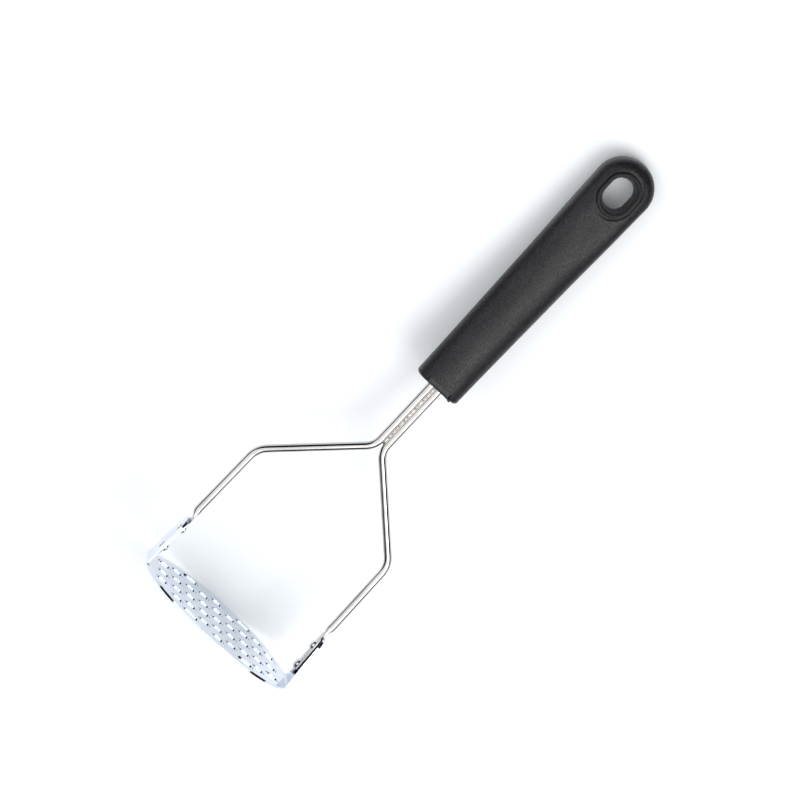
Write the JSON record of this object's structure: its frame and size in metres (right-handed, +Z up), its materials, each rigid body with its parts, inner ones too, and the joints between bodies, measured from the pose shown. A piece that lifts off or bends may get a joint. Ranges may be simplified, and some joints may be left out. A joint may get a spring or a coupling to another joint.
{
  "type": "potato masher",
  "caption": "Hand masher: round perforated steel plate on two bent wires, riveted to upturned tabs, with a moulded handle and an oval hanging hole.",
  "frame": {"origin": "on the table, under the middle of the masher as it lies at rest", "axes": "+Z up from the table, +Y from the plate towards the tip of the handle, +X across the two wires; the tool's own length leans 7.40 degrees down towards the handle's tip"},
  "size_m": [0.081, 0.2682, 0.0814],
  "materials": {
    "plate_steel": "polished stainless stamping, faint rolling grain",
    "wire_steel": "bright drawn wire",
    "rivet_steel": "bright domed heads",
    "weld_steel": "dull grey weld",
    "core_plastic": "smooth moulded",
    "grip_plastic": "fine moulded texture",
    "eyelet_plastic": "satin moulded"
  },
  "bodies": {
    "root": {"mashing_plate": "plate_steel", "left_wire": "wire_steel", "right_wire": "wire_steel", "left_rivets": "rivet_steel", "right_rivets": "rivet_steel", "wire_welds": "weld_steel", "handle_core": "core_plastic", "handle_grip": "grip_plastic", "hanging_eyelet": "eyelet_plastic"}
  },
  "joints": []
}
